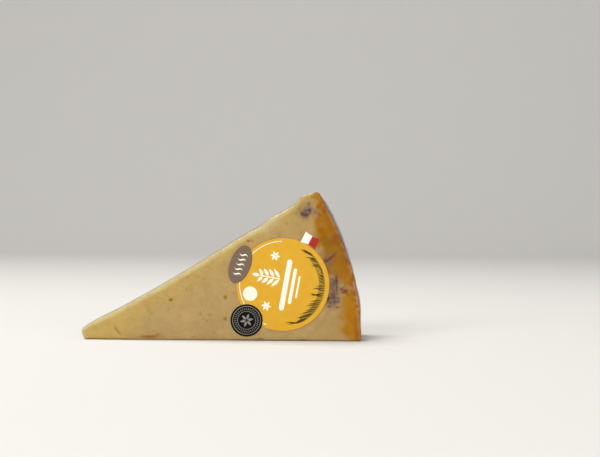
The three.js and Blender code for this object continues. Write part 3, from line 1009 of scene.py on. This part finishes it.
def cut_masks(surface, sizes):
    """The painted highlight along the upper cut edge and the blunt tip's front edge, and the lighter
    paste near the tip, partly its yellower tone and partly painted light, with painted light along the
    upper edge.
    """
    x, z, y, front = surface["x"], surface["z"], surface["depth"], surface["front"]
    sine, cosine = math.sin(sizes.sector_angle), math.cos(sizes.sector_angle)
    on_cut = x * cosine + z * sine
    relief = cut_relief(on_cut, y) * (1.0 - surface["back"])
    from_cut = np.maximum(x * sine - z * cosine + relief, 0.0)
    gain, place, half_width = EDGE_WIDE
    loss, start, end = EDGE_NARROW
    band = EDGE_BAND + gain * hump(on_cut - place, half_width) - loss * smoothstep(on_cut, start, end)
    shows = np.maximum(front, surface["cut"] * hump(y, 4.5))
    edge = np.clip(hump(from_cut, band) * shows, 0.0, 1.0)
    # Painted highlight on the front edge of the blunt tip
    edge = np.maximum(edge, 0.8 * front * hump(x - 6.5, 1.5))
    # Lighter paste towards the tip, partly yellower paste and partly painted light, and painted light
    # along the upper edge
    light = 1.0 - smoothstep(x, *TIP_LIGHT) + 0.9 * hump(from_cut, EDGE_LIGHT)
    return {"edge": edge, "light": np.clip(light, 0.0, 1.0)}


def cheese_relief(surface, sizes):
    """Fine relief of the cheese under the film, never above it, and the masks that colour it.

    The front is the wheel's cut middle, the back and the arc side are its smoked rind, and on the
    narrow cut sides the smoke comes in from both. Eyes and cracks are pits in the surface, and the
    eyes are darkened with painted shade. A pale band along the front's arc edge is a painted film
    sheen, with darker beads between. The numbers beside x, z, u and v are the lengths of the noises
    in millimetres.
    """
    x, z, y = surface["x"], surface["z"], surface["depth"]
    along, front, back = surface["along"], surface["front"], surface["back"]
    side = 1.0 - front - back
    bearing = np.arctan2(z, x)
    lean = lerp(LEAN_HEEL, LEAN_SHOULDER, bearing / sizes.sector_angle)
    from_arc = sizes.wheel_radius / MM + lean - np.hypot(x, z)
    rind = np.clip(surface["rind"] * side + back, 0.0, 1.0)

    # On the arc side patterns are drawn out along the arc, on the back they are even both ways
    u = np.where(surface["rind"] > 0.0, along / 3.2, x) * side + x * (1.0 - side)
    v = y * side + z * (1.0 - side)
    finer = 1.0 - 0.6 * back
    patches = noise(u / 5.0 + 3.0, v / 5.0 + 5.0) + 0.7 * noise(u / 2.1, v / 2.3)
    patches = smoothstep(patches, 0.3, 1.0)
    crust = 0.7 + 0.2 * noise(u / 4.0, v / 4.0 + 2.0) + 0.2 * finer * noise(u / 1.1, v / 1.3 + 6.0)
    crust = rind * smoothstep(from_arc * front + y, CRUST_START, CRUST_FULL) * crust
    rind_cracks = ridges(u / 4.0 + 0.5 * noise(u / 2.0, v / 2.0), v / 4.0, 5.0)
    reds = noise(u / 3.4, v / 3.4 + 9.0) + 0.5 * finer * noise(u / 1.2, v / 1.2)
    streaks = noise(u / 2.6 + 8.0, v / 2.6) + 0.5 * finer * noise(u / 1.0, v / 0.9 + 3.0)

    # Marks on the front face, and a pale line along its lower edge
    spots = marks(x, z, MOULD)
    cracks = ridges(x / 1.7 + 0.4 * noise(x, z), z / 2.6, 3.0)
    # Eyes: small pits, darkened with painted shade inside them
    eye = front * marks(x, z, EYES)
    line = 0.3 * hump(z, 0.8) * smoothstep(x, 40.0, 60.0)

    # Orange beads and a pale band between them along the front's arc edge: a painted film sheen, pale
    # where the film's beads catch the light and darker orange between
    beads = noise(along / 1.3, from_arc / 1.5)
    beading = surface["rind"] * hump(from_arc - 0.6, 1.3) * smoothstep(-beads, 0.05, 0.5)
    painted_sheen = surface["rind"] * hump(from_arc - 0.1, 0.9) * (0.55 + 0.9 * beads)

    mould = front * spots * (0.75 + 0.25 * noise(x / 1.3, z / 1.3)) + 0.3 * rind * patches
    dark = np.maximum(front * marks(x, z, DARK), 0.75 * front * spots * cracks)
    dark = np.clip(dark + 0.7 * rind * rind_cracks * (0.4 + 0.6 * patches), 0.0, 1.0)
    russet = front * marks(x, z, RUSSET) + 0.6 * rind * smoothstep(reds, 0.25, 0.9)
    # Darker beads along the front's arc edge, between the painted film sheen
    russet = np.clip(russet, 0.0, 1.0) + 0.9 * (1.0 - side) * beading
    pale = front * (marks(x, z, PALE) + line) + 0.6 * rind * smoothstep(streaks, 0.2, 0.9)
    # Painted film sheen: a pale band along the front's arc edge
    pale = pale + painted_sheen * (1.0 - side) * (1.0 - back)
    painted_masks = {"crust": crust, "mould": mould, "russet": russet, "pale": pale}
    masks = {name: np.clip(mask, 0.0, 1.0) for name, mask in painted_masks.items()}
    masks.update(smoke_masks(surface, sizes, bearing, from_arc, rind))
    masks.update(cut_masks(surface, sizes))
    masks.update(dark=dark, eye=eye)

    height = -sizes.film_gap / MM - EYE_DEPTH * eye - CRACK_DEPTH * dark * front
    height = height - front * 0.04 * (1.0 + noise(x / 3.1, z / 3.1))
    height = height - front * 0.012 * (1.0 + noise(x / 0.9, z / 0.9))
    sunk = 0.06 * (1.0 + noise(u / 1.8, v / 1.8)) + 0.22 * rind_cracks
    height = height - rind * sunk * (1.0 - hump(y, 2.5))
    height = height - back * 0.15 * (1.0 + noise(x / 8.0, z / 8.0))
    height = height - back * 0.08 * (1.0 + noise(x / 3.4, z / 3.4 + 7))
    return height, masks


class CHEESE_OT_film(bpy.types.Operator):
    """Draw the clear film tight over the cheese."""

    bl_idname = "cheese.film"
    bl_label = "Film"

    def execute(self, context):
        poles = (0.0, context.scene.cheese_sizes.thickness / MM - FILM_SINK)
        dress_wedge("film", FILM_STEPS, FILM_RINGS, film_relief, film_material(), poles)
        return {"FINISHED"}


def film_relief(surface, sizes):
    """The film's wrinkles, outwards from the CAD surface, and the mask of its sheen.

    They are ridges of stretched noise: long folds on the upper cut side and the arc side, with
    short pleats across the arc side's edges, a small gather round the tip, and beads on the front
    edge of the arc. The underside and the place of the stickers stay flat.
    """
    x, z, y = surface["x"], surface["z"], surface["depth"]
    along, front, back = surface["along"], surface["front"], surface["back"]
    side = 1.0 - front - back
    thickness = sizes.thickness / MM
    tall = sizes.wrinkle / MM
    from_edge = np.minimum(y, thickness - y)

    warp = y + 1.6 * noise(along / 9.0 + 5.0, y / 6.0)
    patch = 0.35 + 0.65 * smoothstep(noise(along / 16.0, y / 10.0), -0.3, 0.6)
    long_folds = ridges(along / 19.0 + 0.06 * y, warp / 1.9) * patch
    fine_folds = 0.4 * ridges(along / 7.0 + 3.0, warp / 0.9 + 4.0)
    upper = long_folds * (0.5 + 0.5 * hump(from_edge, 9.0)) + fine_folds

    sway = along + 1.1 * noise(along / 5.0, y / 5.0)
    pleats = ridges(sway / 1.7, y / 10.0) * hump(from_edge, 6.0)
    drape = ridges(along / 15.0 + y / 15.0, warp / 3.6)
    arc = 0.5 * pleats + 1.1 * drape + 0.5 * ridges(along / 9.0, warp / 1.5 + 6.0)

    gather = ridges(along / 1.6 + z, y / 9.0)
    beads = (0.5 + 0.5 * noise(along / 1.2, 3.0)) * np.clip(4.0 * front * (1.0 - front), 0.0, 1.0)
    rear = 0.8 * ridges(x / 15.0, z / 4.0 + noise(x / 8.0, z / 8.0)) + 0.4 * ridges(x / 5.0, z / 5.0)

    height = side * (surface["cut"] * upper + surface["rind"] * arc + 0.7 * surface["tip"] * gather)
    height = tall * (height + 0.8 * surface["rind"] * beads + back * rear)
    height = height - back * 0.12 * (1.0 + noise(x / 8.0, z / 8.0))
    sheen = back + side * np.clip(surface["rind"] + 0.35 * surface["cut"], 0.0, 1.0)
    return height, {"sheen": sheen}


class CHEESE_OT_stickers(bpy.types.Operator):
    """Stick on the round label, the oval label, the seal and the tab."""

    bl_idname = "cheese.stickers"
    bl_label = "Stickers"

    def execute(self, context):
        colours = context.scene.cheese_colours
        radius = label_box("label_round")[2]
        plate(
            "round_label", "label_round", ellipse(radius, radius, 200),
            paper_material("coated paper, golden yellow", rgba(colours.label)), layer=0, rings=40,
        )
        plate(
            "oval_label", "label_oval", ellipse(OVAL_LENGTH, OVAL_WIDTH),
            paper_material("coated paper, grey-brown", rgba(colours.oval)), OVAL_TURN,
        )
        radius = label_box("label_seal")[2]
        plate(
            "seal", "label_seal", ellipse(radius, radius),
            paper_material("coated paper, black", rgba(colours.seal), shine=0.08),
        )
        plate(
            "flag_tab", "label_tab", tab_rim(TAB_LENGTH, TAB_HEIGHT, TAB_BEND),
            paper_material("coated paper, white", rgba(colours.tab)), TAB_TURN, rings=14,
        )
        return {"FINISHED"}


class CHEESE_OT_print(bpy.types.Operator):
    """Print plain ornaments on the stickers."""

    bl_idname = "cheese.print"
    bl_label = "Print"

    def execute(self, context):
        colours = context.scene.cheese_colours
        cream, olive, brown, grey_ink, red = (
            paper_material("screen print, " + ink, rgba(getattr(colours, ink)))
            for ink in ("cream", "olive", "brown", "grey", "red")
        )
        label = ("label_round", "yellow_label")
        light, green, dark = round_label_strokes()
        print_strokes("round_label_cream", *label, light, LABEL_TURN, cream, layer=0)
        print_strokes("round_label_olive", *label, green, LABEL_TURN, olive, layer=0)
        print_strokes("round_label_brown", *label, dark, LABEL_TURN, brown, layer=0, raised=0.02)

        wisps = [curl((place, -1.9), 3.8, 0.42, 0.34) for place in (-4.4, -2.2, 0.0, 2.2, 4.4)]
        print_strokes("oval_label_cream", "label_oval", "brown_label", wisps, OVAL_TURN, cream)
        print_strokes("seal_grey", "label_seal", "black_seal", seal_strokes(), SEAL_TURN, grey_ink)

        share = np.linspace(0.0, 0.995, 16)
        path = np.stack([share * TAB_LENGTH, 0.0 * share], axis=-1)
        field = [(path, TAB_HEIGHT - 0.02 - TAB_BEND * (1.0 - share**2))]
        print_strokes("flag_tab_red", "label_tab", "flag_label", field, TAB_TURN, red)
        return {"FINISHED"}


def polar(radius, degrees):
    """The point at a radius and an angle from the middle."""
    turn = math.radians(degrees)
    return radius * math.cos(turn), radius * math.sin(turn)


def round_label_strokes():
    """Cream, olive and dark strokes of the round label's plain ornament.

    A leafy sprig stands over three bars of different lengths, with a meadow of grass blades on a
    low hill along the lower rim, a fine line along the upper one and a blank spot at its left.
    """
    cream = [bow((0, 0), 19.2, 12, 84, 0.16), bow((0, 0), 19.2, 96, 168, 0.16)]
    cream.append(bar((SPRIG_X, 1.5), (SPRIG_X, 10.6), 0.26))
    cream.append(blade((SPRIG_X, 10.8), 90, 3.6, 0.8))
    for k in range(4):
        for side in (-1, 1):
            node = (SPRIG_X + 0.4 * side, 2.0 + 2.5 * k)
            cream.append(blade(node, 90 - 50 * side, 4.8 - 0.5 * k, 0.72))
    cream.append(dot((-6.6, 13.6), 3.2))
    for height, half_length, half_width in [(-1.2, 11.5, 1.15), (-4.3, 8.0, 0.75), (-6.7, 5.0, 0.4)]:
        cream.append(bar((-half_length, height), (half_length, height), half_width))
    for side in (-1, 1):
        middle = (0.6 + side * 11.3, 5.6)
        cream.extend(blade(middle, 60 * k + 30, 2.3, 0.5) for k in range(6))
    olive, brown = [bow((0, 0), 17.3, 216, 324, 1.35)], []
    place = np.linspace(0.0, 1.0, 36)
    sway = noise(place * 23.0, 2.0)
    tall = noise(place * 31.0, 6.0)
    for k, t in enumerate(place):
        degrees = float(lerp(212, 328, t))
        lean = 90 + 26 * float(sway[k]) - 0.35 * (degrees - 270)
        length = 4.6 + 1.9 * float(tall[k]) + 1.2 * math.sin(7 * t)
        brown.append(blade(polar(18.6, degrees), lean, length, 0.27, 0.9 * float(tall[k])))
    return cream, olive, brown


def seal_strokes():
    """Grey strokes of the seal: two rings, short rays between them and a six-leaved rosette."""
    rings = [bow((0, 0), 6.2, 0, 359, 0.13), bow((0, 0), 4.0, 0, 359, 0.1)]
    rays = [bar(polar(4.5, turn), polar(5.6, turn), 0.11) for turn in range(0, 360, 10)]
    leaves = [blade(polar(0.45, turn), turn, 2.6, 0.55) for turn in range(0, 360, 60)]
    return rings + rays + leaves


def aim(location, target):
    """A matrix at location that looks at target, with the frame's z up."""
    direction = (Vector(target) - Vector(location)).normalized()
    turned_to = direction.to_track_quat("-Z", "Y").to_matrix().to_4x4()
    return Matrix.Translation(location) @ turned_to


def area_light(name, location, size, power):
    """A square soft box aimed at the wedge."""
    light = bpy.data.lights.new(name, "AREA")
    light.shape = "RECTANGLE"
    light.size, light.size_y = size
    light.energy = power
    light.color = LIGHT_COLOUR
    new_object(name, light).matrix_world = aim(location, LIGHT_TARGET)


def sweep_floor(material):
    """Floor and backdrop in one sheet: a floor line, a quarter circle and a wall line, drawn along x."""
    turn = np.linspace(0.0, math.pi / 2, 24)
    y = np.concatenate([[-2.4], 1.2 + 0.6 * np.sin(turn), [1.8]])
    z = np.concatenate([[0.0], 0.6 - 0.6 * np.cos(turn), [2.6]])
    x = np.linspace(-2.6, 2.6, 9)
    grid = np.stack(np.broadcast_arrays(x[None], y[:, None], z[:, None] - 0.00005), axis=-1)
    rows, columns = grid.shape[:2]
    corner = (np.arange(rows - 1)[:, None] * columns + np.arange(columns - 1)).reshape(-1)
    faces = np.stack([corner, corner + 1, corner + columns + 1, corner + columns], axis=-1)
    floor = new_object("floor", new_mesh("floor", grid.reshape(-1, 3), [faces], material))


class CHEESE_OT_stage(bpy.types.Operator):
    """Set up the floor, the lights and the camera."""

    bl_idname = "cheese.stage"
    bl_label = "Stage"

    def execute(self, context):
        scene = context.scene
        sweep_floor(floor_material(rgba(scene.cheese_colours.floor)))
        scene.view_settings.view_transform = "Standard"
        world = bpy.data.worlds.new("studio")
        world.use_nodes = True
        background = world.node_tree.nodes["Background"]
        background.inputs["Color"].default_value = WORLD_COLOUR
        background.inputs["Strength"].default_value = WORLD_STRENGTH
        scene.world = world
        for name, (location, size, power) in LIGHTS.items():
            area_light(name, location, size, power)
        scene.camera = photo_camera()
        return {"FINISHED"}


def photo_camera():
    """The camera at the photograph's place: a long lens, almost square to the front face."""
    around, above, roll = (math.radians(turn) for turn in CAMERA_TURNS)
    target = Vector((apex_x() + CAMERA_X, 0.0, CAMERA_Z))
    level = math.cos(above)
    forward = Vector((-math.sin(around) * level, math.cos(around) * level, -math.sin(above)))
    lens = bpy.data.cameras.new("camera")
    lens.sensor_width, lens.lens = 36.0, FOCAL_LENGTH
    lens.clip_start, lens.clip_end = 0.05, 20.0
    camera = new_object("camera", lens)
    location = target - forward * CAMERA_DISTANCE
    camera.matrix_world = aim(location, target) @ Matrix.Rotation(roll, 4, "Z")
    return camera


class CHEESE_PT_panel(bpy.types.Panel):
    """The wedge's settings and pieces in the sidebar."""

    bl_idname = "CHEESE_PT_panel"
    bl_label = "Smoked cheese wedge"
    bl_space_type = "VIEW_3D"
    bl_region_type = "UI"
    bl_category = "Cheese"

    def draw(self, context):
        layout = self.layout
        for settings in SETTINGS:
            group = getattr(context.scene, settings)
            column = layout.column()
            for name in group.__annotations__:
                column.prop(group, name)
        for operator in OPERATORS:
            layout.operator(operator.bl_idname)


SETTINGS = {"cheese_sizes": CHEESE_PG_sizes, "cheese_colours": CHEESE_PG_colours}
OPERATORS = (CHEESE_OT_paste, CHEESE_OT_film, CHEESE_OT_stickers, CHEESE_OT_print, CHEESE_OT_stage)
CLASSES = (*SETTINGS.values(), *OPERATORS, CHEESE_PT_panel)


def register():
    for each in CLASSES:
        bpy.utils.register_class(each)
    for name, group in SETTINGS.items():
        setattr(bpy.types.Scene, name, PointerProperty(type=group))


def unregister():
    for name in SETTINGS:
        delattr(bpy.types.Scene, name)
    for each in reversed(CLASSES):
        bpy.utils.unregister_class(each)


def main():
    register()
    bpy.ops.cheese.paste()
    bpy.ops.cheese.film()
    bpy.ops.cheese.stickers()
    bpy.ops.cheese.print()
    bpy.ops.cheese.stage()


if __name__ == "__main__":
    main()
